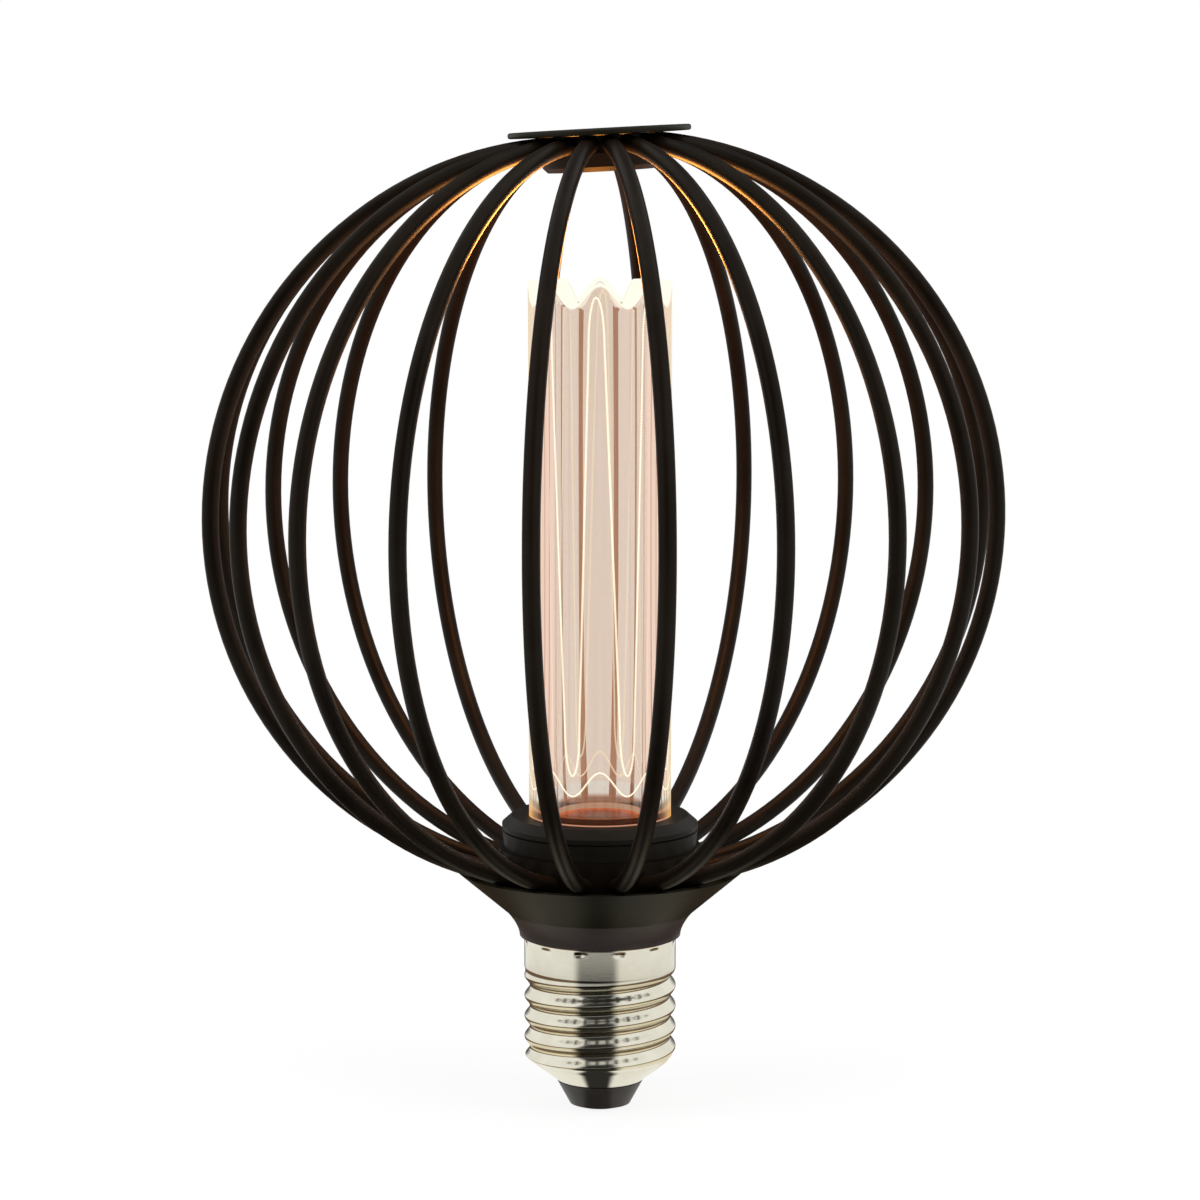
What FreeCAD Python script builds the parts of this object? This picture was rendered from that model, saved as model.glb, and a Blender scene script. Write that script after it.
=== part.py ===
import FreeCAD, Part
import math
import os
from FreeCAD import Vector

# A screw-in LED lamp whose light source is a clear acrylic light guide, standing inside
# a globe-shaped cage of twenty bent steel wires.
# Frame: millimetres, +Z up along the lamp's axis, the cap below and the cage above.
# The origin is the middle of the centre contact's flat underside.
# Azimuths are measured from the front (-Y) towards +X.

os.makedirs("parts", exist_ok=True)

# Screw cap
cap_r = 13.2                  # thread crests and the plain band above them
thread_pitch = 25.4 / 7       # seven turns to the inch
thread_depth = 0.95
shell_wall = 0.35
lip_r = 7.6                   # lower mouth of the shell, round the insulator
shell_cone_h = 5.1
cone_fullness = 0.15          # how far the cone bulges beyond a straight one
thread_h = 15.1               # height of the full-depth thread
thread_fade_h = 2.0           # where the thread runs out at either end
band_h = 5.5                  # plain band under the housing
crest_turn = 0.18             # share of a turn that sets where the crests lie
seam_turn = 0.25              # the thread's surface closes on itself at the back
shell_columns = 24            # points round the thread's surface
shell_rows_per_pitch = 8
dimple_count = 12             # staking marks round the band
dimple_r = 0.7
dimple_depth = 0.25
dimple_drop = 1.1             # below the shell's top edge

# Insulator and centre contact
contact_r = 4.4
contact_t = 0.8
contact_proud = 0.3           # the contact stands below the insulator by this much
contact_pin_r = 1.2
insulator_r = 5.3
insulator_h = 4.3             # the part that shows below the shell
insulator_seat_h = 3.0        # the part inside the shell

# Housing
skirt_h = 4.4
skirt_bottom_r = 14.0
skirt_ledge = 1.1             # the dish sits on this ledge round the neck
skirt_hollow = 1.7            # power of the flare's curve; 1 would be a straight cone
neck_r = 15.2
neck_wall = 2.0
neck_h = 13.7                 # from the dish's seat to the LED board
spigot_h = 6.0                # the part inside the screw shell
spigot_wall = 1.5
fit_gap = 0.1                 # clearance between seated pieces
joining_gap = 0.0001          # how closely the thread and the band above it have to meet

# Dish that carries the cage
dish_rim_r = 25.0
dish_h = 7.4
dish_wall = 1.0

# Cage
wire_count = 20
wire_d = 2.9
wire_bend_r = 63.3            # radius of a front or back wire's arc
wire_bend_spread = 0.24       # how much wider the arcs are towards +X, and tighter towards -X
wire_axis_offset = 4.12       # from the lamp's axis to the middle of the arc
wire_axis_spread = 0.2        # how much further out the middle lies towards +X
wire_seat_gap = 0.1           # between a wire and the dish's rim
weld_gap = 0.02               # between a wire's end and the ring that it butts on
cage_turn_deg = 0.4
# How far each hand-set wire stands from its even place, in degrees, from the front wire
# on the right round by the back to the front wire on the left.
wire_slack_deg = [-0.5, -2, -1, 0, 0.5, 1, 2.5, 2.5, 3, 1,
                  0, 0, 0, -2, 0, 2.5, 0.5, -1.5, -1.5, -0.5]
sleeve_wall = 2.3             # ring at the foot of the cage, round the neck
hub_r = 10.8                  # ring at the head of the cage
hub_foot_r = 9.9
hub_h = 6.0
hub_wall = 1.5
hub_chamfer = 0.8

# Top plate
plate_r = 15.6
plate_t = 1.0
plate_edge_r = 0.4

# Collar
collar_r = 17.0
collar_top_r = 15.3
collar_flare_h = 1.5
collar_step_h = 2.3           # from the top face to the groove
collar_groove = 0.35
collar_top_t = 2.0
collar_h = 5.6

# Light guide
guide_r = 12.3
guide_bore_r = 8.0
guide_headroom = 18.6         # from the rim's crests up to the hub
guide_waves = 8
guide_wave_amp = 1.9
guide_gap = 0.15              # between the guide and the collar's hole
plug_h = 1.9

# LED board
led_board_t = 1.0
led_count = 16
led_size = 1.9
led_t = 0.5

# Driver
driver_board_t = 1.2
driver_below_neck = 3.0       # from the LED board down to the driver board
driver_above_seat = 4.8       # from the insulator's seat up to the driver board
driver_gap = 0.15             # between the board's edges and the spigot's bore
board_margin = 2.0            # between the board's edge and the part next to it
part_gap = 1.0                # between neighbours on the board
capacitor_x = -1.0
capacitor_r = 3.9
capacitor_h = 11.0
capacitor_edge = 0.5
inductor_r = 3.4
inductor_h = 6.5
inductor_flange_h = 1.3
inductor_waist = 1.1
rectifier_size = (4.8, 1.7, 4.2)
rectifier_x = 5.0
controller_size = (3.9, 1.5, 4.9)
controller_x = 3.0
resistor_x = -5.0
resistor_r = 1.5
resistor_h = 6.0
lead_r = 0.4
lead_spread = 3.0


def revolve(outline):
    # Turns a closed outline of (radius, height) points about the lamp's axis.
    points = [Vector(r, 0, z) for r, z in outline]
    wire = Part.makePolygon(points + points[:1])
    return Part.Face(wire).revolve(Vector(0, 0, 0), Vector(0, 0, 1), 360)


def turned(shape, azimuth_deg):
    copy = shape.copy()
    copy.rotate(Vector(0, 0, 0), Vector(0, 0, 1), azimuth_deg)
    return copy


def save(name, shape):
    shape.exportStep("parts/%s.step" % name)
    solids = len(shape.Solids)
    print("%-20s solids %2d  valid %s  volume %9.2f" % (name, solids, shape.isValid(), shape.Volume))


def smooth(value):
    t = min(max(value, 0.0), 1.0)
    return t * t * (3 - 2 * t)


spigot_r = cap_r - thread_depth - shell_wall - fit_gap
bore_r = spigot_r - spigot_wall

# Heights, from the contact upwards
insulator_z = contact_proud
lip_z = insulator_z + insulator_h
thread_z = lip_z + shell_cone_h
band_z = thread_z + thread_h
shell_top_z = band_z + band_h
dish_z = shell_top_z + skirt_h
neck_top_z = dish_z + neck_h
board_top_z = neck_top_z + led_board_t
guide_z = board_top_z + led_t + fit_gap
collar_roof_z = board_top_z + fit_gap
collar_top_z = collar_roof_z + collar_top_t
collar_z = collar_top_z - collar_h
rim_z = dish_z + dish_h
skirt_top_r = neck_r + skirt_ledge
sleeve_r = neck_r + fit_gap + sleeve_wall


def shell_radius(z, turn, inset):
    # A cone from the lip, then the crest radius, less a rolled thread that fades at both ends.
    rise = (z - lip_z) / shell_cone_h
    swell = min((1 + cone_fullness) * rise, 1 - cone_fullness * (1 - smooth(rise)))
    crest = min(lip_r + (cap_r - lip_r) * swell, cap_r)
    into = smooth((z - thread_z + thread_fade_h) / thread_fade_h)
    out = smooth((band_z - z) / thread_fade_h)
    wave = 0.5 - 0.5 * math.cos(2 * math.pi * ((z - thread_z) / thread_pitch - turn - crest_turn))
    return crest - thread_depth * wave * into * out - inset


def shell_room(z):
    # Least inner radius of the shell at a height.
    return min(shell_radius(z, turn / shell_columns, shell_wall) for turn in range(shell_columns))


def shell_skin(inset):
    # The threaded stretch, from the lip up to the foot of the plain band.
    rows = int((band_z - lip_z) / thread_pitch * shell_rows_per_pitch)
    grid = []
    for i in range(rows + 1):
        z = lip_z + (band_z - lip_z) * i / rows
        ring = []
        for j in range(shell_columns + 1):
            turn = seam_turn + j / shell_columns
            r = shell_radius(z, turn, inset)
            ring.append(Vector(r * math.cos(2 * math.pi * turn), r * math.sin(2 * math.pi * turn), z))
        ring[-1] = ring[0]
        grid.append(ring)
    skin = Part.BSplineSurface()
    skin.interpolate(grid)
    return skin


def make_shell():
    # Two threaded skins closed by a ring at either end, with a plain round band on top.
    outer = shell_skin(0)
    inner = shell_skin(shell_wall)
    faces = [outer.toShape(), inner.toShape()]
    for at in outer.bounds()[:2]:
        faces.append(Part.makeRuledSurface(outer.uIso(at).toShape(), inner.uIso(at).toShape()))
    skin = Part.makeShell(faces)
    skin.sewShape()
    threaded = Part.makeSolid(skin)
    if threaded.Volume < 0:
        threaded.reverse()
    foot = Vector(0, 0, band_z)
    band = Part.makeCylinder(cap_r, band_h, foot).cut(Part.makeCylinder(cap_r - shell_wall, band_h, foot))
    return threaded.multiFuse([band], joining_gap)


def make_dimples(shell):
    # Staking marks: the corner of a small ball is pressed into the band.
    z = shell_top_z - dimple_drop
    ball = Part.makeSphere(dimple_r, Vector(0, -(cap_r + dimple_r - dimple_depth), z))
    for i in range(dimple_count):
        shell = shell.cut(turned(ball, 360 * (i + 0.5) / dimple_count))
    return shell


def make_contact():
    pin_top = insulator_z + insulator_h
    return revolve([(0, 0), (contact_r, 0), (contact_r, contact_t), (contact_pin_r, contact_t),
                    (contact_pin_r, pin_top), (0, pin_top)])


def make_insulator():
    # The seat follows the inside of the shell's cone.
    steps = 4
    inner = contact_pin_r + fit_gap
    seat = []
    for i in range(steps + 1):
        z = lip_z + insulator_seat_h * i / steps
        seat.append((shell_room(z) - fit_gap, z))
    return revolve([(inner, contact_t), (contact_r + fit_gap, contact_t),
                    (contact_r + fit_gap, insulator_z), (insulator_r, insulator_z),
                    (lip_r, lip_z - fit_gap), (seat[0][0], lip_z - fit_gap)] + seat + [(inner, seat[-1][1])])


def make_housing():
    # The skirt flares in a hollow curve from the cap's band to the dish's seat.
    steps = 8
    flare = []
    for i in range(steps + 1):
        t = i / steps
        r = skirt_bottom_r + (skirt_top_r - skirt_bottom_r) * t ** skirt_hollow
        flare.append((r, shell_top_z + skirt_h * t))
    room_r = neck_r - neck_wall
    spigot_z = shell_top_z - spigot_h
    floor_z = shell_top_z + spigot_wall
    spline = Part.BSplineCurve()
    spline.interpolate([Vector(r, 0, z) for r, z in flare])
    outline = [(neck_r, dish_z), (neck_r, neck_top_z), (room_r, neck_top_z), (room_r, floor_z),
               (bore_r, floor_z), (bore_r, spigot_z), (spigot_r, spigot_z),
               (spigot_r, shell_top_z), (skirt_bottom_r, shell_top_z)]
    points = [Vector(r, 0, z) for r, z in outline]
    line = Part.makePolygon([Vector(skirt_top_r, 0, dish_z)] + points)
    wire = Part.Wire([spline.toShape()] + line.Edges)
    return Part.Face(wire).revolve(Vector(0, 0, 0), Vector(0, 0, 1), 360)


def dish_inner_r(z):
    # Radius of the dish's inner cone at a height.
    slope = (dish_rim_r - skirt_top_r) / dish_h
    across = dish_wall * math.hypot(1, slope)
    return skirt_top_r + slope * (z - dish_z) - across


def make_dish():
    seat_r = neck_r + fit_gap
    floor_z = dish_z + dish_wall
    return revolve([(seat_r, dish_z), (skirt_top_r, dish_z), (dish_rim_r, rim_z),
                    (dish_inner_r(rim_z), rim_z), (dish_inner_r(floor_z), floor_z), (seat_r, floor_z)])


def arc_middle(side):
    # Radius of a wire's arc, then how far out and how high its middle lies. The side is 1 for a
    # wire towards +X and -1 towards -X. Every wire lies on the dish's rim.
    bend_r = wire_bend_r + wire_bend_spread * side
    out = wire_axis_offset + wire_axis_spread * side
    reach = bend_r + wire_d / 2 + wire_seat_gap
    return bend_r, out, rim_z + math.sqrt(reach ** 2 - (dish_inner_r(rim_z) - out) ** 2)


def head_height(side):
    # Height at which a wire's middle line meets the hub.
    bend_r, out, z = arc_middle(side)
    return z + math.sqrt(bend_r ** 2 - (hub_r - out) ** 2)


head_z = head_height(0)
head_tilt_deg = math.degrees(math.atan2(head_height(1) - head_height(-1), 2 * hub_r))
hub_top_z = head_z + wire_d / 2
hub_z = hub_top_z - hub_h
guide_h = hub_z - guide_headroom - guide_wave_amp - guide_z      # to the middle of the wavy rim


def leaned(shape):
    # The wider arcs carry the head of the cage higher towards +X.
    copy = shape.copy()
    copy.rotate(Vector(0, 0, head_z), Vector(0, 1, 0), -head_tilt_deg)
    return copy


def make_wire(azimuth_deg):
    # One arc, with both ends cut to the curve of the ring they butt on.
    bend_r, out, arc_z = arc_middle(math.sin(math.radians(azimuth_deg)))
    head = hub_r - wire_d / 2 - out
    foot = sleeve_r - wire_d / 2 - out
    head_deg = math.degrees(math.acos(head / bend_r))
    foot_deg = math.degrees(math.acos(foot / bend_r))
    centre = Vector(out, 0, arc_z)
    start = Vector(out + foot, 0, arc_z - math.sqrt(bend_r ** 2 - foot ** 2))
    along = (start - centre).cross(Vector(0, 1, 0))
    disc = Part.Face(Part.Wire(Part.makeCircle(wire_d / 2, start, along)))
    wire = turned(disc.revolve(centre, Vector(0, -1, 0), head_deg + foot_deg), azimuth_deg - 90)
    cut_h = 6 * wire_d
    sleeve = Part.makeCylinder(sleeve_r + weld_gap, cut_h, Vector(0, 0, start.z - cut_h / 2))
    hub = Part.makeCylinder(hub_r + weld_gap, cut_h, Vector(0, 0, head_z - cut_h / 2))
    return wire.cut(sleeve).cut(leaned(hub))


def make_sleeve():
    inner = neck_r + fit_gap
    floor_z = dish_z + dish_wall
    slope = (dish_inner_r(rim_z) - dish_inner_r(floor_z)) / (rim_z - floor_z)
    foot_z = floor_z + max(fit_gap, (sleeve_r + fit_gap - dish_inner_r(floor_z)) / slope)
    return revolve([(inner, foot_z), (sleeve_r, foot_z), (sleeve_r, collar_z), (inner, collar_z)])


def make_hub():
    floor_z = hub_z + hub_wall
    hub = revolve([(0, hub_z), (hub_foot_r - hub_chamfer, hub_z), (hub_foot_r, hub_z + hub_chamfer),
                   (hub_r, head_z - wire_d / 2), (hub_r, hub_top_z), (hub_r - hub_wall, hub_top_z),
                   (hub_foot_r - hub_wall, floor_z), (0, floor_z)])
    return leaned(hub)


def make_plate():
    plate = Part.makeCylinder(plate_r, plate_t, Vector(0, 0, hub_top_z + fit_gap))
    rims = [e for e in plate.Edges if e.Curve.TypeId == "Part::GeomCircle"]
    return leaned(plate.makeFillet(plate_edge_r, rims))


def make_collar():
    hole_r = guide_r + guide_gap
    inner = neck_r + fit_gap
    flare_z = collar_top_z - collar_flare_h
    step_z = collar_top_z - collar_step_h
    groove_r = collar_r - collar_groove
    return revolve([(hole_r, collar_roof_z), (hole_r, collar_top_z), (collar_top_r, collar_top_z),
                    (collar_r, flare_z), (collar_r, step_z), (groove_r, step_z - collar_groove / 2),
                    (collar_r, step_z - collar_groove), (groove_r, collar_z), (inner, collar_z),
                    (inner, collar_roof_z)])


def wave_curve(r, z):
    # A closed curve round the axis that rises and falls once for each wave of the rim.
    samples = 12 * guide_waves
    points = []
    for i in range(samples):
        a = 2 * math.pi * i / samples
        lift = guide_wave_amp * math.cos(guide_waves * (a + math.pi / 2))
        points.append(Vector(r * math.cos(a), r * math.sin(a), z + lift))
    curve = Part.BSplineCurve()
    curve.interpolate(points, PeriodicFlag=True)
    return curve.toShape()


def make_guide():
    # A thick tube whose top is cut by a wavy face between two closed curves.
    middle_z = guide_z + guide_h
    spare = 2 * guide_wave_amp
    tube = Part.makeCylinder(guide_r, guide_h + spare, Vector(0, 0, guide_z))
    tube = tube.cut(Part.makeCylinder(guide_bore_r, guide_h + 2 * spare, Vector(0, 0, guide_z - spare)))
    inner = wave_curve(guide_bore_r - 1, middle_z)
    outer = wave_curve(guide_r + 1, middle_z)
    roof = Vector(0, 0, 3 * spare)
    faces = [Part.makeRuledSurface(inner, outer), inner.extrude(roof), outer.extrude(roof)]
    lid_inner = inner.copy()
    lid_inner.translate(roof)
    lid_outer = outer.copy()
    lid_outer.translate(roof)
    faces.append(Part.makeRuledSurface(lid_inner, lid_outer))
    cutter = Part.makeShell(faces)
    cutter.sewShape()
    return tube.cut(Part.makeSolid(cutter))


def make_led_board():
    return Part.makeCylinder(neck_r - fit_gap, led_board_t, Vector(0, 0, neck_top_z))


def make_leds():
    ring_r = (guide_r + guide_bore_r) / 2
    corner = Vector(-led_size / 2, -ring_r - led_size / 2, board_top_z)
    chip = Part.makeBox(led_size, led_size, led_t, corner)
    return Part.makeCompound([turned(chip, 360 * i / led_count) for i in range(led_count)])


def make_plug():
    return Part.makeCylinder(guide_bore_r - guide_gap, plug_h, Vector(0, 0, board_top_z))


# Driver parts stand on a board that is held edgewise in the spigot's bore.
driver_top_z = neck_top_z - driver_below_neck
driver_z = lip_z + insulator_seat_h + driver_above_seat
driver_half = math.sqrt((bore_r - driver_gap) ** 2 - (driver_board_t / 2) ** 2)
front_y = -driver_board_t / 2
back_y = driver_board_t / 2
rectifier_z = driver_top_z - board_margin - rectifier_size[2]
controller_z = driver_top_z - board_margin - controller_size[2]


def make_driver_board():
    corner = Vector(-driver_half, front_y, driver_z)
    return Part.makeBox(2 * driver_half, driver_board_t, driver_top_z - driver_z, corner)


def make_capacitor():
    base = Vector(capacitor_x, front_y - capacitor_r, driver_top_z - board_margin - capacitor_h)
    can = Part.makeCylinder(capacitor_r, capacitor_h, base)
    return can.makeFillet(capacitor_edge, [e for e in can.Edges if e.Curve.TypeId == "Part::GeomCircle"])


def make_inductor():
    # A drum core that stands below the controller.
    waist_r = inductor_r - inductor_waist
    waist_top = inductor_h - inductor_flange_h
    drum = [(0, 0), (inductor_r, 0), (inductor_r, inductor_flange_h), (waist_r, inductor_flange_h),
            (waist_r, waist_top), (inductor_r, waist_top), (inductor_r, inductor_h), (0, inductor_h)]
    body = revolve(drum)
    body.translate(Vector(0, back_y + inductor_r, controller_z - part_gap - inductor_h))
    return body


def make_block(size, x, z, front):
    wide, deep, high = size
    y = front_y - deep if front else back_y
    return Part.makeBox(wide, deep, high, Vector(x - wide / 2, y, z))


def make_resistor():
    base = Vector(resistor_x, front_y - resistor_r, driver_z + board_margin)
    return Part.makeCylinder(resistor_r, resistor_h, base)


def make_live_lead():
    bottom = insulator_z + insulator_h
    return Part.makeCylinder(lead_r, driver_z - bottom, Vector(0, 0, bottom))


def make_neutral_lead():
    # From the board's lower edge outwards to the wall of the shell.
    x = driver_half - 2 * lead_r
    z = driver_z - lead_r
    wall_r = min(shell_room(z - lead_r), shell_room(z), shell_room(z + lead_r))
    return Part.makeCylinder(lead_r, wall_r - fit_gap - x, Vector(x, 0, z), Vector(1, 0, 0))


def make_led_lead(side):
    return Part.makeCylinder(lead_r, driver_below_neck, Vector(side * lead_spread, 0, driver_top_z))


print("guide height %.3f, guide foot %.3f, hub %.3f to %.3f, head tilt %.2f degrees"
      % (guide_h, guide_z, hub_z, hub_top_z, head_tilt_deg))
save("contact", make_contact())
save("insulator", make_insulator())
save("screw_shell", make_dimples(make_shell()))
save("housing", make_housing())
save("dish", make_dish())
save("cage_sleeve", make_sleeve())
for number in range(wire_count):
    slack = wire_slack_deg[number % len(wire_slack_deg)]
    azimuth = 360 * (number + 0.5) / wire_count + cage_turn_deg + slack
    save("cage_wire_%02d" % (number + 1), make_wire(azimuth))
save("cage_hub", make_hub())
save("top_plate", make_plate())
save("collar", make_collar())
save("light_guide", make_guide())
save("led_board", make_led_board())
save("led_chips", make_leds())
save("guide_plug", make_plug())
save("driver_board", make_driver_board())
save("capacitor", make_capacitor())
save("inductor", make_inductor())
save("rectifier", make_block(rectifier_size, rectifier_x, rectifier_z, True))
save("controller", make_block(controller_size, controller_x, controller_z, False))
save("fuse_resistor", make_resistor())
save("live_lead", make_live_lead())
save("neutral_lead", make_neutral_lead())
save("led_lead_1", make_led_lead(-1))
save("led_lead_2", make_led_lead(1))
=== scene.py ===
import math
import bpy
import numpy as np
from mathutils import Matrix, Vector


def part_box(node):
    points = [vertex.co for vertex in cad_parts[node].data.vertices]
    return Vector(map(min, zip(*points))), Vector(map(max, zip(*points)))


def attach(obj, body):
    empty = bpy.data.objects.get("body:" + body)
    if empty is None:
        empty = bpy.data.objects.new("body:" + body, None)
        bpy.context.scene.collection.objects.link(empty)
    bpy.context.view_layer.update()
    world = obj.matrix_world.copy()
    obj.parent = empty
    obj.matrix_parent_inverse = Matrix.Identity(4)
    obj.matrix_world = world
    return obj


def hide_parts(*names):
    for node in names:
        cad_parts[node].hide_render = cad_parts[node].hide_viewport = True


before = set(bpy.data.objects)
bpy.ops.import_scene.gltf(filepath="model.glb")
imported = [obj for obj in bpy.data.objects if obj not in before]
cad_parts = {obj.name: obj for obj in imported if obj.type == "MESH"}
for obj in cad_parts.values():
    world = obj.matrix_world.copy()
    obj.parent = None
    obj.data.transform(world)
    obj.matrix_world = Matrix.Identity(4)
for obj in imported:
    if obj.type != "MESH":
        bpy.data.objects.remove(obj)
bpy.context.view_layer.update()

# A lit screw-in lamp: a clear acrylic light guide inside a globe cage of black wires.
# Metres, Z up along the lamp's axis; azimuth 0 faces the camera and grows towards +X.

mm = 0.001
print("frame loaded:", len(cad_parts), "nodes")


def meshPiece(name, points, faces, material, standsFor=(), uv=None):
    # Makes one smooth piece from an array of points and a list of faces; it rides on the lamp's one body.
    mesh = bpy.data.meshes.new(name)
    mesh.from_pydata(points.tolist(), [], faces)
    mesh.polygons.foreach_set("use_smooth", np.full(len(mesh.polygons), True))
    if uv is not None:
        corner = np.empty(len(mesh.loops), dtype=np.int64)
        mesh.loops.foreach_get("vertex_index", corner)
        mesh.uv_layers.new(name="UVMap").data.foreach_set("uv", uv[corner].ravel())
    mesh.materials.append(material)
    mesh.update()
    piece = bpy.data.objects.new(name, mesh)
    bpy.context.scene.collection.objects.link(piece)
    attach(piece, "root")
    if standsFor:
        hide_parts(*standsFor)
    return piece


def closedQuads(rows, columns):
    # Quads of a grid of rows x columns points that closes round in both directions.
    r, c = np.meshgrid(np.arange(rows), np.arange(columns), indexing="ij")
    up, side = (r + 1) % rows, (c + 1) % columns
    quads = np.stack([r * columns + c, r * columns + side, up * columns + side, up * columns + c], axis=-1)
    return quads.reshape(-1, 4).tolist()


def roundAxis(radius, azimuth, height):
    # A point at a radius from the lamp's axis, at an azimuth in radians from the front.
    return np.stack([radius * np.sin(azimuth), -radius * np.cos(azimuth), height], axis=-1)


class Term:
    # A socket that can be added and multiplied like a number.
    def __init__(self, paint, socket):
        self.paint, self.socket = paint, socket

    def __add__(self, other):
        return self.paint.math("ADD", self, other)

    def __sub__(self, other):
        return self.paint.math("SUBTRACT", self, other)

    def __rsub__(self, other):
        return self.paint.math("SUBTRACT", other, self)

    def __mul__(self, other):
        return self.paint.math("MULTIPLY", self, other)

    def __truediv__(self, other):
        return self.paint.math("DIVIDE", self, other)

    def __pow__(self, other):
        return self.paint.math("POWER", self, other)

    __radd__ = __add__
    __rmul__ = __mul__


class Paint:
    # One node tree. node() adds any node; the rest are short names for the ones used most.
    def __init__(self, owner):
        owner.use_nodes = True
        self.owner, self.tree = owner, owner.node_tree
        self.tree.nodes.clear()

    def node(self, kind, settings=None, values=None, out=0):
        made = self.tree.nodes.new("ShaderNode" + kind)
        for key, value in (settings or {}).items():
            if key == "stops":
                ramp = made.color_ramp.elements
                while len(ramp) < len(value):
                    ramp.new(0.5)
                for stop, (place, colour) in zip(ramp, value):
                    stop.position = place
                    stop.color = (*colour, 1)
            else:
                setattr(made, key, value)
        for key, value in (values or {}).items():
            if isinstance(value, Term):
                self.tree.links.new(value.socket, made.inputs[key])
            else:
                made.inputs[key].default_value = value
        return Term(self, made.outputs[out])

    def math(self, operation, a, b=0.0):
        return self.node("Math", {"operation": operation}, {0: a, 1: b})

    def clamp(self, value):
        return self.node("Clamp", None, {0: value})

    def fade(self, value, start, end, first, last):
        # Goes smoothly from first at start to last at end.
        settings = {"interpolation_type": "SMOOTHSTEP"}
        return self.node("MapRange", settings, {0: value, 1: start, 2: end, 3: first, 4: last})

    def place(self):
        return self.node("TexCoord", None, None, "Object")

    def part(self, vector, which):
        # One of the three parts of a vector.
        split = self.tree.nodes.new("ShaderNodeSeparateXYZ")
        self.tree.links.new(vector.socket, split.inputs[0])
        return Term(self, split.outputs[which])

    def length(self, vector):
        return self.node("VectorMath", {"operation": "LENGTH"}, {0: vector}, 1)

    def fromAxis(self, at):
        # Distance from the lamp's axis.
        return self.length(self.node("VectorMath", {"operation": "MULTIPLY"}, {0: at, 1: (1, 1, 0)}))

    def rays(self, *names):
        # 1 for rays of any of the named kinds.
        path = self.tree.nodes.new("ShaderNodeLightPath")
        total = Term(self, path.outputs[names[0]])
        for name in names[1:]:
            total = total + Term(self, path.outputs[name])
        return self.clamp(total)

    def noise(self, at, perMetre, detail):
        values = {"Vector": at, "Scale": perMetre, "Detail": detail, "Roughness": 0.55}
        return self.node("TexNoise", None, values)

    def ramp(self, value, stops):
        return self.node("ValToRGB", {"stops": stops}, {0: value})

    def blend(self, share, first, second):
        return self.node("Mix", {"data_type": "RGBA"}, {0: share, 6: first, 7: second}, 2)

    def stretch(self, at, scale):
        return self.node("Mapping", None, {"Vector": at, "Scale": scale})

    def bump(self, height, depth, strength):
        return self.node("Bump", None, {"Strength": strength, "Distance": depth, "Height": height})

    def light(self, colour, strength=1.0):
        return self.node("Emission", None, {"Color": rgba(colour), "Strength": strength})

    def layer(self, share, under, over):
        # Lays one shader over another by a share.
        return self.node("MixShader", None, {0: share, 1: under, 2: over})

    def surface(self, shader):
        end = self.tree.nodes.new("ShaderNodeOutputMaterial")
        self.tree.links.new(shader.socket, end.inputs["Surface"])
        return self.owner


def newPaint(name):
    return Paint(bpy.data.materials.new(name))


def rgba(colour):
    return (*colour, 1.0)


powderLook = {
    "cage": {"dark": (0.0030, 0.0018, 0.0012), "worn": (0.0078, 0.0054, 0.0034), "shine": 0.09},
    "dish": {"dark": (0.0048, 0.0044, 0.0024), "worn": (0.0105, 0.0098, 0.0056), "shine": 0.10},
    "tint": (1.0, 0.90, 0.74),
    "clouds": 55, "peel": 1900, "speck": 4200,          # patterns per metre
    "rough": 0.30, "cloudRough": 0.12, "speckRough": 0.05,
    "relief": 0.05 * mm, "reliefShare": 0.4,
}


def powderCoat(kind):
    # Satin black powder coat: soft clouds of brown in the black and a fine orange-peel skin.
    look = {**powderLook, **powderLook[kind]}
    p = newPaint(kind + "Powder")
    at = p.place()
    clouds = p.noise(at, look["clouds"], 4)
    peel = p.noise(at, look["peel"], 2)
    speck = p.noise(at, look["speck"], 1)
    rough = look["rough"] + clouds * look["cloudRough"] + speck * look["speckRough"]
    return p.surface(p.node("BsdfPrincipled", None, {
        "Base Color": p.ramp(clouds, [(0.3, look["dark"]), (0.75, look["worn"])]), "Roughness": rough,
        "Normal": p.bump(peel * 0.8 + speck * 0.2, look["relief"], look["reliefShare"]),
        "Specular IOR Level": look["shine"], "Specular Tint": rgba(look["tint"])}))


plasticLook = {
    "housing": {
        "deep": (0.0170, 0.0122, 0.0124), "pale": (0.0280, 0.0210, 0.0205),
        "rough": 0.38, "grain": 2600, "shine": 0.30},
    "collar": {
        "deep": (0.0040, 0.0034, 0.0024), "pale": (0.0080, 0.0070, 0.0048),
        "rough": 0.36, "grain": 1800, "shine": 0.14},
    "insulator": {
        "deep": (0.0190, 0.0165, 0.0140), "pale": (0.0290, 0.0255, 0.0220),
        "rough": 0.32, "grain": 900, "shine": 0.30},
    "tint": (1.0, 0.93, 0.86),
    "flow": 80, "flowRough": 0.08, "grainRough": 0.06,
    "relief": 0.03 * mm, "reliefShare": 0.4,
}


def mouldedPlastic(kind):
    # Black moulded plastic: faint flow clouds and a spark-eroded grain.
    look = {**plasticLook, **plasticLook[kind]}
    p = newPaint(kind + "Plastic")
    at = p.place()
    flow = p.noise(p.stretch(at, (1, 1, 3)), look["flow"], 3)
    grain = p.noise(at, look["grain"], 2)
    rough = look["rough"] + flow * look["flowRough"] + grain * look["grainRough"]
    return p.surface(p.node("BsdfPrincipled", None, {
        "Base Color": p.ramp(flow, [(0.25, look["deep"]), (0.8, look["pale"])]), "Roughness": rough,
        "Normal": p.bump(grain, look["relief"], look["reliefShare"]),
        "Specular IOR Level": look["shine"], "Specular Tint": rgba(look["tint"])}))


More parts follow.
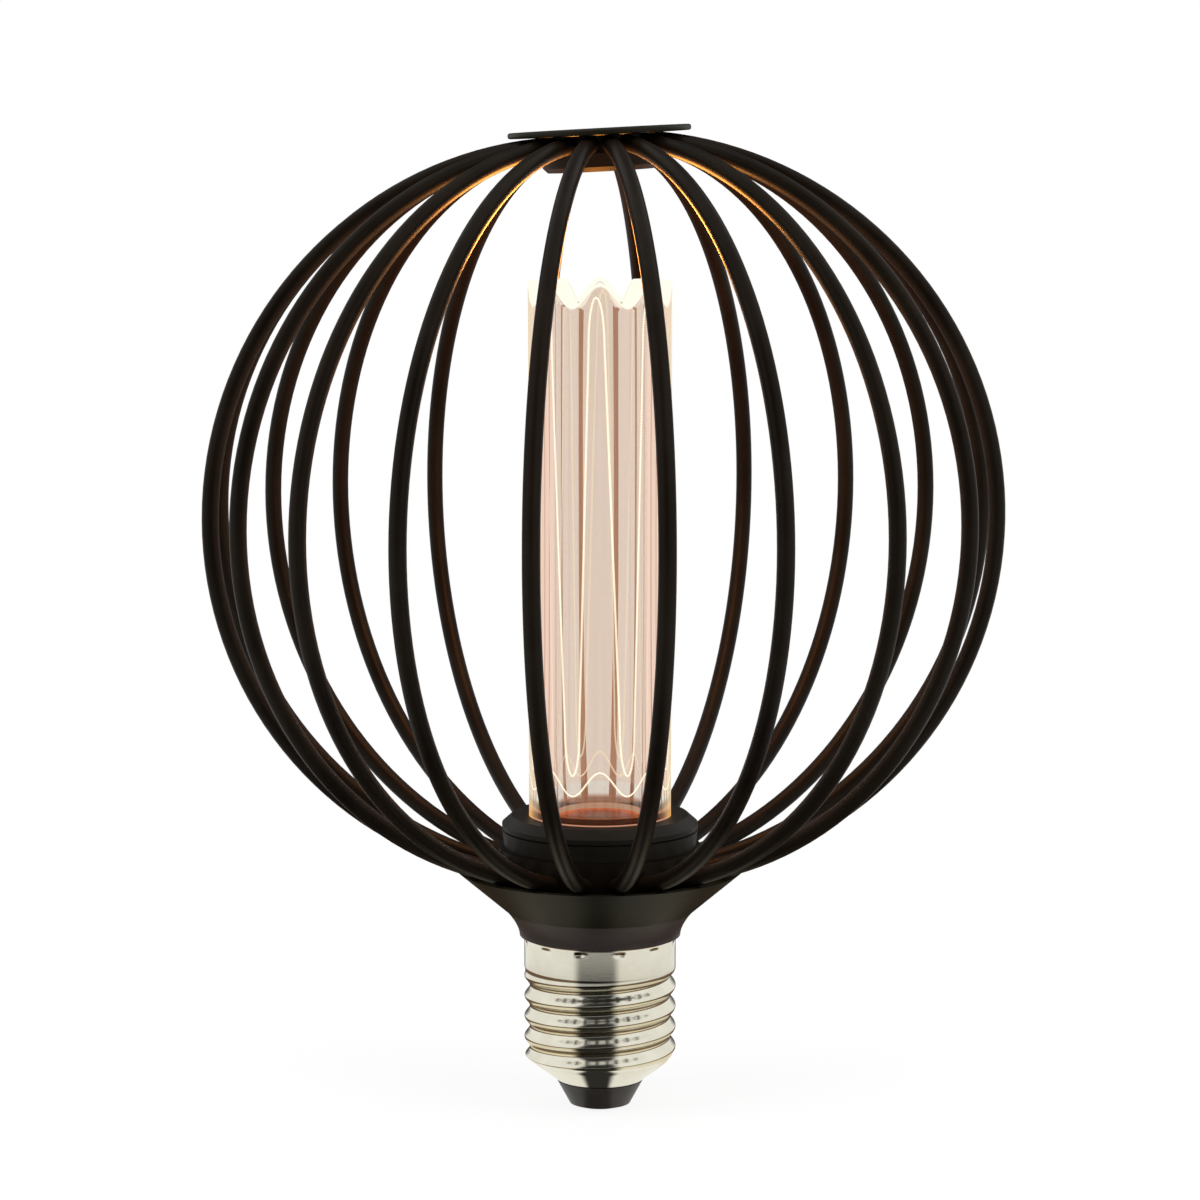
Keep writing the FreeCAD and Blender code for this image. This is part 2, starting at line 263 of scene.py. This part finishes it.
nickelLook = {
    "bright": (0.86, 0.83, 0.70), "dull": (0.77, 0.73, 0.60),
    "patches": 190, "contrast": 2.6, "dullUnder": 0.85, "rings": 5200,
    "rough": 0.08, "patchRough": 0.07, "ringRough": 0.05,
    "relief": 0.02 * mm, "reliefShare": 0.2,
}


def nickelPlate():
    # Warm bright nickel, drawn and rolled: fine rings round the axis and cloudy dull patches.
    look = nickelLook
    p = newPaint("nickelPlate")
    at = p.place()
    patches = p.noise(at, look["patches"], 4)
    rings = p.noise(p.stretch(at, (0.06, 0.06, 1)), look["rings"], 2)
    bright = p.clamp(patches * look["contrast"] - look["dullUnder"])
    return p.surface(p.node("BsdfPrincipled", None, {
        "Base Color": p.blend(bright, rgba(look["dull"]), rgba(look["bright"])), "Metallic": 1.0,
        "Roughness": look["rough"] + patches * look["patchRough"] + rings * look["ringRough"],
        "Normal": p.bump(rings * 0.5 + patches * 0.5, look["relief"], look["reliefShare"])}))


metalLook = {
    "clouds": 420, "scratches": 6000, "cloudRough": 0.15, "relief": 0.02 * mm, "reliefShare": 0.3,
    "leadCopper": {
        "bright": (0.90, 0.52, 0.32), "dull": (0.62, 0.33, 0.20), "rough": 0.28,
        "nodes": ["live_lead", "neutral_lead", "led_lead_1", "led_lead_2"]},
    "contactMetal": {
        "bright": (0.80, 0.76, 0.66), "dull": (0.55, 0.50, 0.40), "rough": 0.25, "nodes": ["contact"]},
}


def plainMetal(name):
    # Small metal parts: clouded colour and light scratches.
    look = {**metalLook, **metalLook[name]}
    p = newPaint(name)
    at = p.place()
    clouds = p.noise(at, look["clouds"], 3)
    scratch = p.noise(p.stretch(at, (1, 0.1, 0.1)), look["scratches"], 1)
    return p.surface(p.node("BsdfPrincipled", None, {
        "Base Color": p.blend(clouds, rgba(look["dull"]), rgba(look["bright"])), "Metallic": 1.0,
        "Roughness": look["rough"] + clouds * look["cloudRough"],
        "Normal": p.bump(scratch, look["relief"], look["reliefShare"])}))


bodyLook = {
    "grainFiner": 9, "cloudRough": 0.12, "relief": 0.03 * mm, "reliefShare": 0.35,
    "boardMask": {
        "dark": (0.16, 0.06, 0.03), "pale": (0.22, 0.09, 0.05), "rough": 0.4, "clouds": 600,
        "nodes": ["led_board"]},
    "circuitBoard": {
        "dark": (0.020, 0.085, 0.035), "pale": (0.035, 0.13, 0.055), "rough": 0.38, "clouds": 900,
        "nodes": ["driver_board"]},
    "capacitorSleeve": {
        "dark": (0.012, 0.014, 0.03), "pale": (0.02, 0.024, 0.05), "rough": 0.3, "clouds": 300,
        "nodes": ["capacitor"]},
    "ferriteDrum": {
        "dark": (0.03, 0.028, 0.027), "pale": (0.055, 0.05, 0.048), "rough": 0.6, "clouds": 1200,
        "nodes": ["inductor"]},
    "chipEpoxy": {
        "dark": (0.012, 0.012, 0.013), "pale": (0.03, 0.03, 0.032), "rough": 0.5, "clouds": 1500,
        "nodes": ["rectifier", "controller"]},
    "resistorBody": {
        "dark": (0.10, 0.20, 0.24), "pale": (0.16, 0.28, 0.33), "rough": 0.4, "clouds": 700,
        "nodes": ["fuse_resistor"]},
}


def plainBody(name):
    # Moulded or painted bodies of the driver's parts: mottled colour and a light, finer grain.
    look = {**bodyLook, **bodyLook[name]}
    p = newPaint(name)
    at = p.place()
    clouds = p.noise(at, look["clouds"], 4)
    grain = p.noise(at, look["clouds"] * look["grainFiner"], 1)
    return p.surface(p.node("BsdfPrincipled", None, {
        "Base Color": p.blend(clouds, rgba(look["dark"]), rgba(look["pale"])),
        "Roughness": look["rough"] + clouds * look["cloudRough"],
        "Normal": p.bump(grain, look["relief"], look["reliefShare"])}))


# The shares say how much of the wall's look a light takes over. The spreads say how uneven it is along the
# upright streaks. "From" and "In" say where a light begins as the wall turns from the eye, and over how much.
guideLook = {
    "tint": (0.80, 0.865, 0.84), "index": 1.49, "rough": 0.012,
    "wallFrom": 10.5 * mm, "wallOver": 0.5 * mm,        # the lights are in the outer wall alone
    "streaks": 900, "streakScale": (1, 1, 0.03),
    "ripple": 240, "rippleScale": (1, 1, 0.12), "rippleDepth": 0.04 * mm, "rippleShare": 0.2,
    "haze": (1.0, 0.42, 0.22), "hazeShare": 0.23, "hazeSpread": 0.5,
    "floorLine": 55.3 * mm, "floorOver": 0.5 * mm,      # where the bore's floor stands
    "hazeBelow": 0.10,                                  # what is left of the haze under the bore's floor
    "side": (0.86, 0.54, 0.37), "sideShare": 0.30, "sideSpread": 0.9,
    "sideFrom": 0.20, "sideIn": 0.10, "sideTo": 0.80, "sideOut": 0.25,
    "edge": (1.0, 0.90, 0.62), "edgeShare": 0.60, "edgeSpread": 0.8,
    "edgeFrom": 0.42, "edgeIn": 0.45,
    "foot": (1.0, 0.40, 0.04), "footFacing": 0.04, "footTurned": 0.8,
    "footLine": 51.5 * mm, "footDepth": 5.0 * mm,       # the orange glow above the collar
    "rim": (1.0, 0.96, 0.82), "rimStrength": 1.05,
    "rimDepth": 0.0042,                                 # share of the guide's height that glows under the rim
    "falloff": 1.6,
}


# The foot of the outer wall above the collar: a thin pale line of painted highlight, a dark band of painted
# shade and a thin line of painted light, then clear.
footPaintedBands = {
    "over": 2.0 * mm,
    "colour": [
        (0.0, (0.58, 0.28, 0.18)), (0.06, (0.58, 0.28, 0.18)), (0.13, (0.012, 0.004, 0.002)),
        (0.60, (0.030, 0.008, 0.003)), (0.68, (0.26, 0.08, 0.03)), (0.78, (0.13, 0.03, 0.008))],
    "share": [
        (0.0, (0.95, 0.95, 0.95)), (0.60, (0.92, 0.92, 0.92)), (0.68, (0.75, 0.75, 0.75)),
        (1.0, (0.0, 0.0, 0.0))],
}


def clearAcrylic():
    # Clear acrylic. Its outer wall gives off a warm haze, peach at the sides and cream at the edges.
    # It is white-hot at the wavy rim and orange at the foot.
    look = guideLook
    p = newPaint("clearAcrylic")
    at = p.place()
    up = p.part(p.node("UVMap", {"uv_map": "UVMap"}), 1)
    tall = p.part(at, 2)
    outerWall = p.clamp((p.fromAxis(at) - look["wallFrom"]) / look["wallOver"])
    turned = p.node("LayerWeight", None, {"Blend": 0.5}, 1)
    streaks = p.noise(p.stretch(at, look["streakScale"]), look["streaks"], 3)
    ripple = p.noise(p.stretch(at, look["rippleScale"]), look["ripple"], 2)

    def uneven(spread):
        return streaks * spread + (1 - spread / 2)

    aboveFloor = p.clamp((tall - look["floorLine"]) / look["floorOver"])
    aboveCollar = tall - look["footLine"]
    haze = outerWall * uneven(look["hazeSpread"]) * look["hazeShare"]
    haze = haze * (look["hazeBelow"] + aboveFloor * (1 - look["hazeBelow"]))
    sideIn = p.clamp((turned - look["sideFrom"]) / look["sideIn"])
    sideOut = p.clamp((look["sideTo"] - turned) / look["sideOut"])
    side = outerWall * aboveFloor * sideIn * sideOut * uneven(look["sideSpread"]) * look["sideShare"]
    edge = outerWall * p.clamp((turned - look["edgeFrom"]) / look["edgeIn"]) * uneven(look["edgeSpread"])
    foot = p.clamp(1 - aboveCollar / look["footDepth"]) ** look["falloff"]
    foot = foot * (look["footFacing"] + edge * look["footTurned"])
    rim = p.clamp(1 - (1 - up) / look["rimDepth"]) ** look["falloff"]
    # Painted highlight and shade at the guide's foot: these bands take over the wall and give off their
    # colour as light.
    bandPlace = aboveCollar / footPaintedBands["over"]
    paintedBands = outerWall * p.ramp(bandPlace, footPaintedBands["share"]) * (1 - edge)
    bandLight = p.node("BsdfPrincipled", None, {
        "Base Color": (0, 0, 0, 1), "Roughness": 1.0, "Specular IOR Level": 0.0,
        "Emission Color": p.ramp(bandPlace, footPaintedBands["colour"]), "Emission Strength": 1.0})
    shader = p.node("BsdfPrincipled", None, {
        "Base Color": rgba(look["tint"]), "Roughness": look["rough"], "IOR": look["index"],
        "Transmission Weight": 1.0, "Normal": p.bump(ripple, look["rippleDepth"], look["rippleShare"])})
    shader = p.layer(haze, shader, p.light(look["haze"]))
    shader = p.layer(side, shader, p.light(look["side"]))
    shader = p.layer(edge * look["edgeShare"], shader, p.light(look["edge"]))
    shader = p.layer(foot, shader, p.light(look["foot"]))
    shader = p.layer(paintedBands, shader, bandLight)
    return p.surface(p.layer(rim, shader, p.light(look["rim"], look["rimStrength"])))


chipLook = {"base": (0.9, 0.62, 0.16), "light": (1.0, 0.36, 0.06), "strength": 0.4, "spread": 0.3}


def glowing(name, look):
    # A surface that gives light of its own, unevenly.
    p = newPaint(name)
    patches = p.noise(p.place(), 900, 2)
    return p.surface(p.node("BsdfPrincipled", None, {
        "Base Color": rgba(look["base"]), "Roughness": 0.5, "Emission Strength": look["strength"],
        "Emission Color": p.blend(patches * look["spread"], rgba(look["light"]), rgba(look["base"]))}))


plugLook = {
    "radius": 8 * mm, "clouds": 600, "cloudShare": 0.3,
    "colour": [(0.3, (0.060, 0.008, 0.002)), (0.85, (0.16, 0.018, 0.002)), (1.0, (0.32, 0.045, 0.004))],
    "rough": 0.2, "shine": 0.1, "glow": 0.6, "relief": 0.1 * mm, "reliefShare": 0.3,
}


def plugGlass():
    # Glossy floor of the guide's bore, which gives off its colour as a painted glow: deep red-brown in the
    # middle, orange towards its edge.
    look = plugLook
    p = newPaint("plugPlastic")
    at = p.place()
    clouds = p.noise(at, look["clouds"], 3)
    colour = p.ramp(p.fromAxis(at) / look["radius"] + clouds * look["cloudShare"], look["colour"])
    return p.surface(p.node("BsdfPrincipled", None, {
        "Base Color": colour, "Roughness": look["rough"], "Specular IOR Level": look["shine"],
        # Painted glow: the plug gives off its own colour as light.
        "Emission Color": colour, "Emission Strength": look["glow"],
        "Normal": p.bump(clouds, look["relief"], look["reliefShare"])}))


def givePaint(material, *names):
    for name in names:
        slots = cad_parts[name].data.materials
        slots.clear()
        slots.append(material)


nickel = nickelPlate()
acrylic = clearAcrylic()
wireNames = sorted(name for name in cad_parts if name.startswith("cage_wire"))
givePaint(powderCoat("cage"), "cage_sleeve", "cage_hub", *wireNames)
givePaint(powderCoat("dish"), "dish", "top_plate")
givePaint(nickel, "screw_shell")
for kind in ("housing", "collar", "insulator"):
    givePaint(mouldedPlastic(kind), kind)
for name in ("leadCopper", "contactMetal"):
    givePaint(plainMetal(name), *metalLook[name]["nodes"])
for name in ("boardMask", "circuitBoard", "capacitorSleeve", "ferriteDrum", "chipEpoxy", "resistorBody"):
    givePaint(plainBody(name), *bodyLook[name]["nodes"])
givePaint(glowing("ledPhosphor", chipLook), "led_chips")
givePaint(plugGlass(), "guide_plug")
print("finishes given")


guide = {
    "waves": 8, "wave": 1.9 * mm, "bore": 8.0 * mm, "edge": 0.35 * mm,
    "turns": 384, "rows": 110, "bends": 4,
}


def makeGuide():
    # A closed skin: outer wall, wavy rim, inner wall and foot, as one profile swept round the axis.
    # The rim stands at middle + wave * cos(waves * azimuth), and its two edges are rounded.
    low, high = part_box("light_guide")
    outer, foot = high.x, low.z
    bore, edge = guide["bore"], guide["edge"]
    wall = np.linspace(0, 1, guide["rows"])
    bend = np.linspace(0, math.pi / 2, guide["bends"] + 2)[1:-1]
    full = np.ones_like(wall)
    radius = np.concatenate([
        full * outer, outer - edge + edge * np.cos(bend), [outer - edge, bore + edge],
        bore + edge - edge * np.sin(bend), full * bore])[:, None]
    share = np.concatenate([wall, np.ones(len(bend) * 2 + 2), wall[::-1]])[:, None]
    drop = np.concatenate([
        full * edge, edge - edge * np.sin(bend), [0, 0], edge - edge * np.cos(bend), full * edge])[:, None]
    azimuth = np.linspace(0, 2 * math.pi, guide["turns"], endpoint=False)[None, :]
    middle = high.z - guide["wave"]
    rim = middle + guide["wave"] * np.cos(guide["waves"] * azimuth)
    height = foot + share * (rim - foot) - np.where(share > 0.5, drop, 0) * share
    every = np.ones_like(height)
    points = roundAxis(radius * every, azimuth * every, height).reshape(-1, 3)
    uv = np.stack([azimuth * every / (2 * math.pi), share * every], axis=-1).reshape(-1, 2)
    faces = closedQuads(*height.shape)
    return meshPiece("light_guide_clear", points, faces, acrylic, ["light_guide"], uv)


etching = {
    "lowMiddle": 58.7 * mm, "lowWave": 2.1 * mm,        # the low line goes once up and down for each wave
    "tallFoot": 60.1 * mm, "tallTop": 141.5 * mm,       # the tall line runs in narrow loops
    "twistDeg": 3.0,                                    # how far the tops stand round from the feet
    "arch": 50 / 180, "archHigh": 0.1,                  # shares of half a loop that its round end takes
    "samples": 12000, "step": 0.38 * mm,
    "wide": 0.24 * mm, "tall": 0.15 * mm, "proud": 0.03 * mm, "sides": 6,
    "shoulder": 0.55, "shoulderHigh": 0.7, "footHigh": -0.5,    # a dot's dome, as shares of its size
}
etchedLook = {"base": (0.30, 0.26, 0.20), "light": (1.0, 0.92, 0.68), "strength": 1.12, "spread": 0.1}


def alongLine(azimuth, height, radius):
    # Points set evenly along a line that is drawn on the guide's wall.
    run = np.hypot(np.diff(azimuth) * radius, np.diff(height))
    length = np.concatenate([[0], np.cumsum(run)])
    even = np.arange(0, length[-1], etching["step"])
    return np.interp(even, length, azimuth), np.interp(even, length, height)


def loopHeight(share):
    # Height of the tall line, where share goes from 0 at a loop's top to 1 at the next foot:
    # a straight leg between two round ends that are quarter ellipses.
    arch, archHigh = etching["arch"], etching["archHigh"]
    near = np.minimum(share, 1 - share)
    bend = archHigh * (1 - np.sqrt(1 - np.minimum(near / arch, 1) ** 2))
    leg = archHigh + (near - arch) * (0.5 - archHigh) / (0.5 - arch)
    drop = np.where(near < arch, bend, leg)
    drop = np.where(share < 0.5, drop, 1 - drop)
    return etching["tallTop"] - drop * (etching["tallTop"] - etching["tallFoot"])


def makeEtching():
    # Rows of small domed dots that follow two closed wavy lines round the guide.
    low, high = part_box("light_guide")
    radius = high.x
    turn = np.linspace(0, 2 * math.pi, etching["samples"])
    phase = np.cos(guide["waves"] * turn)
    lowLine = alongLine(turn, etching["lowMiddle"] + etching["lowWave"] * phase, radius)
    tallHeight = loopHeight(np.arccos(phase) / math.pi)
    risen = (tallHeight - etching["tallFoot"]) / (etching["tallTop"] - etching["tallFoot"])
    tallLine = alongLine(turn - math.radians(etching["twistDeg"]) * risen, tallHeight, radius)
    azimuth = np.concatenate([lowLine[0], tallLine[0]])[:, None]
    height = np.concatenate([lowLine[1], tallLine[1]])[:, None]
    sides, shoulder = etching["sides"], etching["shoulder"]
    ring = np.arange(sides) * 2 * math.pi / sides
    across = np.concatenate([np.cos(ring), shoulder * np.cos(ring), [0]]) * etching["wide"]
    along = np.concatenate([np.sin(ring), shoulder * np.sin(ring), [0]]) * etching["tall"]
    rise = np.repeat([etching["footHigh"], etching["shoulderHigh"], 1.0], [sides, sides, 1])
    rise = rise * etching["proud"]
    spots = roundAxis(radius + rise, azimuth + across / radius, height + along).reshape(-1, 3)
    here = np.arange(sides)
    there = (here + 1) % sides
    skirt = np.stack([here, there, there + sides, here + sides], axis=-1)
    cap = np.stack([here + sides, there + sides, np.full(sides, 2 * sides)], axis=-1)
    first = (np.arange(len(azimuth)) * (2 * sides + 1))[:, None, None]
    faces = (skirt + first).reshape(-1, 4).tolist() + (cap + first).reshape(-1, 3).tolist()
    meshPiece("guide_etching", spots, faces, glowing("etchedLine", etchedLook))


clearGuide = makeGuide()
clearGuide.visible_shadow = False       # the glow inside it reaches the wires
makeEtching()
print("light guide made")


shell = {
    "lip": 7.6 * mm, "cone": 5.1 * mm, "swell": 0.15, "wall": 0.35 * mm,
    "pitch": 25.4 / 7 * mm, "depth": 0.95 * mm, "thread": 15.1 * mm, "fade": 2.0 * mm,
    "start": 0.25, "crest": 0.18,                       # shares of a turn
    "dimples": 12, "dimple": 0.75 * mm, "dimpleDepth": 0.25 * mm, "dimpleDrop": 1.1 * mm,
    "bead": 0.36 * mm, "beadWide": 0.09 * mm, "beadDepth": 0.035 * mm,
    "rows": 583, "columns": 140, "innerEvery": 8,
}


def ease(value):
    t = np.clip(value, 0, 1)
    return t * t * (3 - 2 * t)


def shellRadius(azimuth, height, low, high):
    # A swelling cone from the lip to the crests, less a rolled thread that runs out at both ends,
    # less a round dent at each staking mark and a fine groove under the upper edge.
    crestR = high.x
    rise = (height - low.z) / shell["cone"]
    swollen = np.minimum((1 + shell["swell"]) * rise, 1 - shell["swell"] * (1 - ease(rise)))
    crest = np.minimum(shell["lip"] + (crestR - shell["lip"]) * swollen, crestR)
    threadFoot = low.z + shell["cone"]
    bandFoot = threadFoot + shell["thread"]
    into = ease((height - threadFoot + shell["fade"]) / shell["fade"])
    out = ease((bandFoot - height) / shell["fade"])
    turn = azimuth / (2 * math.pi) - shell["start"]
    turns = (height - threadFoot) / shell["pitch"] - turn - shell["crest"]
    wave = 0.5 - 0.5 * np.cos(2 * math.pi * turns)
    spacing = 2 * math.pi / shell["dimples"]
    offset = (np.mod(azimuth, spacing) - spacing / 2) * crestR
    away = np.hypot(offset, height - (high.z - shell["dimpleDrop"]))
    dent = shell["dimpleDepth"] * ease(1 - away / shell["dimple"])
    bead = shell["beadDepth"] * np.exp(-((high.z - height - shell["bead"]) / shell["beadWide"]) ** 2)
    return crest - shell["depth"] * wave * into * out - dent - bead


def makeShell():
    # An outer skin and a coarser one a wall's thickness inside it, joined at the lip and the upper edge.
    low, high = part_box("screw_shell")
    azimuth = np.linspace(0, 2 * math.pi, shell["columns"], endpoint=False)[None, :]
    height = np.linspace(low.z, high.z, shell["rows"])[:, None]
    radius = shellRadius(azimuth, height, low, high)
    every = np.ones_like(radius)
    outerSkin = roundAxis(radius, azimuth * every, height * every)
    innerSkin = roundAxis(radius - shell["wall"], azimuth * every, height * every)[::-shell["innerEvery"]]
    points = np.concatenate([outerSkin, innerSkin])
    faces = closedQuads(len(points), shell["columns"])
    meshPiece("screw_shell_rolled", points.reshape(-1, 3), faces, nickel, ["screw_shell"])


makeShell()
print("screw shell made")


cameraLook = {"place": (0, -0.650, 0.17442), "pitchDeg": 82.503, "focalPixels": 3805.3, "framePixels": 1200}


def makeCamera():
    data = bpy.data.cameras.new("photoCamera")
    data.sensor_width = 36
    data.sensor_fit = "HORIZONTAL"
    data.lens = cameraLook["focalPixels"] / cameraLook["framePixels"] * data.sensor_width
    camera = bpy.data.objects.new("photoCamera", data)
    camera.location = cameraLook["place"]
    camera.rotation_euler = (math.radians(cameraLook["pitchDeg"]), 0, 0)
    bpy.context.scene.collection.objects.link(camera)
    bpy.context.scene.camera = camera


boxLights = {
    "softboxLeft": {
        "azimuthDeg": -62, "elevationDeg": 28, "distance": 0.9, "wide": 0.5, "high": 0.9, "watts": 6.0,
        "colour": (1, 1, 1)},
    "softboxRight": {
        "azimuthDeg": 58, "elevationDeg": 30, "distance": 0.9, "wide": 0.5, "high": 0.9, "watts": 6.0,
        "colour": (1, 0.98, 0.95)},
    "overhead": {
        "azimuthDeg": 0, "elevationDeg": 82, "distance": 1.0, "wide": 0.8, "high": 0.8, "watts": 5.0,
        "colour": (1, 1, 1)},
}
aimHeight = 90 * mm


def makeBoxLight(name):
    # A soft box that looks at the middle of the lamp.
    look = boxLights[name]
    data = bpy.data.lights.new(name, "AREA")
    data.shape = "RECTANGLE"
    data.size = look["wide"]
    data.size_y = look["high"]
    data.energy = look["watts"]
    data.color = look["colour"]
    box = bpy.data.objects.new(name, data)
    azimuth, tilt = math.radians(look["azimuthDeg"]), math.radians(90 - look["elevationDeg"])
    turn = Matrix.Rotation(azimuth, 4, "Z") @ Matrix.Rotation(tilt, 4, "X")
    aim = Matrix.Translation((0, 0, aimHeight))
    box.matrix_world = aim @ turn @ Matrix.Translation((0, 0, look["distance"]))
    box.visible_camera = False
    box.visible_glossy = False
    bpy.context.scene.collection.objects.link(box)


cageNodes = [*wireNames, "cage_hub", "top_plate"]
footNodes = ["collar", "dish", "cage_sleeve"]
glowLights = {
    "rimGlow": {"height": 142.5 * mm, "watts": 0.32, "colour": (1.0, 0.36, 0.06), "nodes": cageNodes},
    "bodyGlow": {"height": 105 * mm, "watts": 0.08, "colour": (1.0, 0.30, 0.10), "nodes": cageNodes},
    "footGlow": {"height": 58 * mm, "watts": 0.006, "colour": (1.0, 0.30, 0.06), "nodes": footNodes},
}
glowRadius = 12 * mm


def makeGlowLight(name):
    # Light of the guide itself, which shines on the named nodes only and isn't seen in the glass.
    look = glowLights[name]
    data = bpy.data.lights.new(name, "POINT")
    data.energy = look["watts"]
    data.color = look["colour"]
    data.shadow_soft_size = glowRadius
    glow = bpy.data.objects.new(name, data)
    glow.location = (0, 0, look["height"])
    glow.visible_camera = False
    glow.visible_transmission = False
    lit = bpy.data.collections.new(name + "Nodes")
    for node in look["nodes"]:
        lit.objects.link(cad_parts[node])
    glow.light_linking.receiver_collection = lit
    bpy.context.scene.collection.objects.link(glow)


roomLook = {
    "floorSize": 3.0, "floorLevel": -0.2 * mm, "floor": (0.9, 0.9, 0.9),
    # How much of the floor is plain white, near the lamp and far from it, for the camera and through glass.
    "nearWhite": 0.88, "farWhite": 1.0, "fadeFrom": 0.05, "fadeTo": 0.35,
    # The world's soft light, and the tones that mirrors see at the sides, in front, behind and overhead.
    "ambient": 0.5, "sides": 0.92,
    "dark": 0.03, "darkFrom": -34, "darkTo": 24, "darkEdge": 14,
    "behind": 0.10, "behindFrom": 146, "behindTo": 164,
    "topFrom": 0.80, "topTo": 0.95,
    # The floor in mirrors: a paler front beyond the patch's radius, and rings of painted shade and painted
    # reflection round the lamp.
    "patch": 0.42, "patchFrom": 0.1235, "patchTo": 0.1265, "reach": 0.12,
    "rings": [
        (0.13, (1.0, 0.99, 0.95)), (0.17, (0.88, 0.80, 0.62)), (0.28, (0.88, 0.80, 0.62)),
        (0.34, (0.17, 0.11, 0.07)), (0.80, (0.20, 0.14, 0.09)), (0.95, (1.0, 1.0, 1.0))],
}


def roundTone(p, toward, front):
    # Tone that mirrors see at an azimuth: white at the sides, dark in front and straight behind.
    angle = p.math("ARCTAN2", p.part(toward, 0), p.part(toward, 1) * -1.0)
    middle = math.radians((roomLook["darkFrom"] + roomLook["darkTo"]) / 2)
    half = math.radians((roomLook["darkTo"] - roomLook["darkFrom"]) / 2)
    edge = math.radians(roomLook["darkEdge"]) / 2
    beside = p.fade(p.math("ABSOLUTE", angle - middle), half - edge, half + edge, 0.0, 1.0)
    behindFrom, behindTo = math.radians(roomLook["behindFrom"]), math.radians(roomLook["behindTo"])
    before = p.fade(p.math("ABSOLUTE", angle), behindFrom, behindTo, 1.0, 0.0)
    white = roomLook["behind"] + before * (roomLook["sides"] - roomLook["behind"])
    return front + beside * (white - front)


def makeFloor():
    # Pale floor that fades to the white of the background and keeps a soft shadow near the lamp.
    # Mirrors see it as a tone of its own, darker near the lamp, painted as rings of shade and reflection
    # round it. Rays through glass count as mirrored too, so what is seen straight or through glass comes
    # first.
    half, level = roomLook["floorSize"] / 2, roomLook["floorLevel"]
    mesh = bpy.data.meshes.new("floor")
    corners = [(-half, -half, level), (half, -half, level), (half, half, level), (-half, half, level)]
    mesh.from_pydata(corners, [], [(0, 1, 2, 3)])
    p = newPaint("paleFloor")
    at = p.place()
    away = p.length(at)
    far = p.clamp((away - roomLook["fadeFrom"]) / (roomLook["fadeTo"] - roomLook["fadeFrom"]))
    seen = p.rays("Is Camera Ray", "Is Transmission Ray")
    mirrored = p.rays("Is Glossy Ray")
    share = seen * (roomLook["nearWhite"] + far * (roomLook["farWhite"] - roomLook["nearWhite"])) + mirrored
    front = p.fade(away, roomLook["patchFrom"], roomLook["patchTo"], roomLook["dark"], roomLook["patch"])
    # Painted shade and painted reflection for mirrors: rings of colour round the lamp.
    colour = p.blend(seen, p.ramp(away / roomLook["reach"], roomLook["rings"]), (1, 1, 1, 1))
    strength = seen + (1 - seen) * mirrored * roundTone(p, at, front)
    matt = p.node("BsdfDiffuse", None, {"Color": rgba(roomLook["floor"])})
    white = p.node("Emission", None, {"Color": colour, "Strength": strength})
    mesh.materials.append(p.surface(p.layer(p.clamp(share), matt, white)))
    floor = bpy.data.objects.new("floor", mesh)
    bpy.context.scene.collection.objects.link(floor)


def makeWorld():
    # White where the camera or glass sees it, a plain grey for soft light, and in mirrors
    # a room that is bright overhead and at the sides.
    world = bpy.data.worlds.new("room")
    bpy.context.scene.world = world
    p = Paint(world)
    seen = p.rays("Is Camera Ray", "Is Transmission Ray")
    mirrored = p.rays("Is Glossy Ray")
    toward = p.node("TexCoord", None, None, "Generated")
    high = p.fade(p.part(toward, 2), roomLook["topFrom"], roomLook["topTo"], 0.0, 1.0)
    around = roundTone(p, toward, roomLook["dark"])
    mirror = around + (roomLook["sides"] - around) * high
    strength = seen + (1 - seen) * (mirrored * mirror + (1 - mirrored) * roomLook["ambient"])
    background = p.node("Background", None, {"Color": (1, 1, 1, 1), "Strength": strength})
    end = p.tree.nodes.new("ShaderNodeOutputWorld")
    p.tree.links.new(background.socket, end.inputs["Surface"])


makeCamera()
makeFloor()
makeWorld()
for name in boxLights:
    makeBoxLight(name)
for name in glowLights:
    makeGlowLight(name)
scene = bpy.context.scene
scene.view_settings.view_transform = "Standard"
print("camera, lamps and room made")
